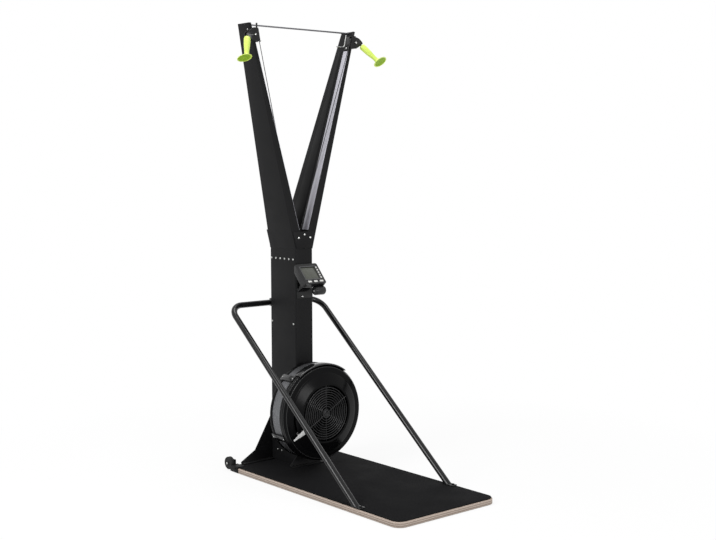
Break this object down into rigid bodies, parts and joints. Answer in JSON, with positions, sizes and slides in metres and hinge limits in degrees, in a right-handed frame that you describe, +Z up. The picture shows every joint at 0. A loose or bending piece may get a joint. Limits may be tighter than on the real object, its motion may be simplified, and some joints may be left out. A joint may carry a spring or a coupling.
{
  "type": "ski trainer machine",
  "caption": "Upright cord-pull ski trainer: Y shaped mast on a mat-topped board, fan flywheel in a round housing, green handles, bent tube stays, tilting monitor, transport wheels.",
  "frame": {"origin": "centre of the board's underside, on the floor", "axes": "+Z up; -Y towards the user, who faces the mast; +X the user's right"},
  "size_m": [0.8926, 1.331, 2.22],
  "materials": {
    "plywood": "clear sealed plywood edge",
    "mat": "matt ribless rubber sheet",
    "black_steel": "fine textured black powder coat",
    "bright_strip": "satin metal strip",
    "zinc_steel": "zinc plated",
    "black_plastic": "moulded, low sheen",
    "gloss_plastic": "polished black",
    "grey_mesh": "perforated steel sheet",
    "damper_grey": "grey coated sheet",
    "alloy": "plain",
    "cord": "braided cover",
    "green_grip": "soft moulded grip",
    "pale_key": "moulded key",
    "screen": "grey display, switched off",
    "wheel_rubber": "solid tyre"
  },
  "bodies": {
    "frame": {"deck_board": "plywood", "deck_mat": "mat", "lower_column": "black_steel", "rear_foot_plate": "black_steel", "front_foot_plate": "black_steel", "splice_sleeve": "black_steel", "right_arm": "black_steel", "left_arm": "black_steel", "front_tie_plate": "black_steel", "rear_tie_plate": "black_steel", "right_guard_strip": "bright_strip", "left_guard_strip": "bright_strip", "spreader_rod": "zinc_steel", "right_pulley_bracket": "black_steel", "left_pulley_bracket": "black_steel", "fan_rear_shell": "black_plastic", "fan_mesh_band": "grey_mesh", "fan_top_guard": "gloss_plastic", "fan_front_cover": "black_plastic", "front_bearing": "zinc_steel", "rear_bearing": "zinc_steel", "return_anchor": "black_steel", "left_return_cord": "cord", "right_return_cord": "cord", "left_drive_cord": "cord", "right_drive_cord": "cord", "right_stay": "black_steel", "left_stay": "black_steel", "stay_clamp": "black_steel", "monitor_bracket": "black_steel", "right_wheel_bracket": "black_steel", "left_wheel_bracket": "black_steel"},
    "flywheel": {"fan_wheel": "alloy", "main_axle": "zinc_steel"},
    "damper": {"damper_disc": "damper_grey"},
    "monitor": {"monitor_case": "black_plastic", "monitor_screen": "screen", "battery_pod": "black_plastic"},
    "right_cord_end": {"right_cord_stop": "zinc_steel"},
    "right_grip": {"right_handle": "green_grip"},
    "right_pulley": {"right_top_pulley": "black_plastic"},
    "right_guide": {"right_guide_roller": "black_plastic"},
    "right_spool": {"right_drum": "black_plastic"},
    "right_wheel": {"right_transport_wheel": "wheel_rubber"},
    "left_cord_end": {"left_cord_stop": "zinc_steel"},
    "left_grip": {"left_handle": "green_grip"},
    "left_pulley": {"left_top_pulley": "black_plastic"},
    "left_guide": {"left_guide_roller": "black_plastic"},
    "left_spool": {"left_drum": "black_plastic"},
    "left_wheel": {"left_transport_wheel": "wheel_rubber"},
    "bottom_key_1": {"monitor_bottom_key_1": "pale_key"},
    "bottom_key_2": {"monitor_bottom_key_2": "pale_key"},
    "bottom_key_3": {"monitor_bottom_key_3": "pale_key"},
    "side_key_1": {"monitor_side_key_1": "pale_key"},
    "side_key_2": {"monitor_side_key_2": "pale_key"},
    "side_key_3": {"monitor_side_key_3": "pale_key"},
    "side_key_4": {"monitor_side_key_4": "pale_key"},
    "side_key_5": {"monitor_side_key_5": "pale_key"}
  },
  "joints": [
    {"name": "flywheel_spin", "type": "hinge", "parent": "frame", "child": "flywheel", "pos_m": [0, 0.339, 0.32], "axis": [0, 1, 0], "continuous": true},
    {"name": "damper_turn", "type": "hinge", "parent": "frame", "child": "damper", "pos_m": [0, 0.2651, 0.32], "axis": [0, 1, 0], "range_deg": [0, 40]},
    {"name": "monitor_tilt", "type": "hinge", "parent": "frame", "child": "monitor", "pos_m": [0, 0.37217, 0.94854], "axis": [1, 0, 0], "range_deg": [0, 30]},
    {"name": "right_pull", "type": "slide", "parent": "frame", "child": "right_cord_end", "axis": [0, -0.2, -0.9798], "range_m": [0, 1.2], "stiffness_N_per_m": 8, "springref_m": -0.6},
    {"name": "right_swing", "type": "hinge", "parent": "right_cord_end", "child": "right_grip", "pos_m": [0.3463, 0.38731, 2.158], "axis": [1, 0, 0], "range_deg": [-15, 50]},
    {"name": "right_pulley_turn", "type": "hinge", "parent": "frame", "child": "right_pulley", "pos_m": [0.31, 0.38731, 2.163], "axis": [0, 1, 0], "range_deg": [0, 2646]},
    {"name": "right_guide_turn", "type": "hinge", "parent": "frame", "child": "right_guide", "pos_m": [0.0196, 0.466, 1.17], "axis": [0, 1, 0], "range_deg": [0, 4272]},
    {"name": "right_spool_turn", "type": "hinge", "parent": "frame", "child": "right_spool", "pos_m": [0, 0.48, 0.32], "axis": [0, 1, 0], "range_deg": [0, 2293]},
    {"name": "right_wheel_roll", "type": "hinge", "parent": "frame", "child": "right_wheel", "pos_m": [0.2905, 0.666, 0.036], "axis": [1, 0, 0], "continuous": true},
    {"name": "left_pull", "type": "slide", "parent": "frame", "child": "left_cord_end", "axis": [0, -0.2, -0.9798], "range_m": [0, 1.2], "stiffness_N_per_m": 8, "springref_m": -0.6},
    {"name": "left_swing", "type": "hinge", "parent": "left_cord_end", "child": "left_grip", "pos_m": [-0.3463, 0.38731, 2.158], "axis": [1, 0, 0], "range_deg": [-30, 35]},
    {"name": "left_pulley_turn", "type": "hinge", "parent": "frame", "child": "left_pulley", "pos_m": [-0.31, 0.38731, 2.163], "axis": [0, 1, 0], "range_deg": [-2646, 0]},
    {"name": "left_guide_turn", "type": "hinge", "parent": "frame", "child": "left_guide", "pos_m": [-0.0196, 0.466, 1.17], "axis": [0, 1, 0], "range_deg": [-4272, 0]},
    {"name": "left_spool_turn", "type": "hinge", "parent": "frame", "child": "left_spool", "pos_m": [0, 0.452, 0.32], "axis": [0, 1, 0], "range_deg": [0, 2293]},
    {"name": "left_wheel_roll", "type": "hinge", "parent": "frame", "child": "left_wheel", "pos_m": [-0.2905, 0.666, 0.036], "axis": [1, 0, 0], "continuous": true},
    {"name": "bottom_key_1_press", "type": "slide", "parent": "monitor", "child": "bottom_key_1", "axis": [0, 0.7396, -0.673], "range_m": [0, 0.0012], "stiffness_N_per_m": 600, "springref_m": -0.0004},
    {"name": "bottom_key_2_press", "type": "slide", "parent": "monitor", "child": "bottom_key_2", "axis": [0, 0.7396, -0.673], "range_m": [0, 0.0012], "stiffness_N_per_m": 600, "springref_m": -0.0004},
    {"name": "bottom_key_3_press", "type": "slide", "parent": "monitor", "child": "bottom_key_3", "axis": [0, 0.7396, -0.673], "range_m": [0, 0.0012], "stiffness_N_per_m": 600, "springref_m": -0.0004},
    {"name": "side_key_1_press", "type": "slide", "parent": "monitor", "child": "side_key_1", "axis": [0, 0.7396, -0.673], "range_m": [0, 0.0012], "stiffness_N_per_m": 600, "springref_m": -0.0004},
    {"name": "side_key_2_press", "type": "slide", "parent": "monitor", "child": "side_key_2", "axis": [0, 0.7396, -0.673], "range_m": [0, 0.0012], "stiffness_N_per_m": 600, "springref_m": -0.0004},
    {"name": "side_key_3_press", "type": "slide", "parent": "monitor", "child": "side_key_3", "axis": [0, 0.7396, -0.673], "range_m": [0, 0.0012], "stiffness_N_per_m": 600, "springref_m": -0.0004},
    {"name": "side_key_4_press", "type": "slide", "parent": "monitor", "child": "side_key_4", "axis": [0, 0.7396, -0.673], "range_m": [0, 0.0012], "stiffness_N_per_m": 600, "springref_m": -0.0004},
    {"name": "side_key_5_press", "type": "slide", "parent": "monitor", "child": "side_key_5", "axis": [0, 0.7396, -0.673], "range_m": [0, 0.0012], "stiffness_N_per_m": 600, "springref_m": -0.0004}
  ],
  "couplings": [
    {"joint": "right_pulley_turn", "follows": "right_pull", "rad_per_m": 38.462},
    {"joint": "right_guide_turn", "follows": "right_pull", "rad_per_m": 62.112},
    {"joint": "right_spool_turn", "follows": "right_pull", "rad_per_m": 33.333},
    {"joint": "left_pulley_turn", "follows": "left_pull", "rad_per_m": -38.462},
    {"joint": "left_guide_turn", "follows": "left_pull", "rad_per_m": -62.112},
    {"joint": "left_spool_turn", "follows": "left_pull", "rad_per_m": 33.333}
  ]
}
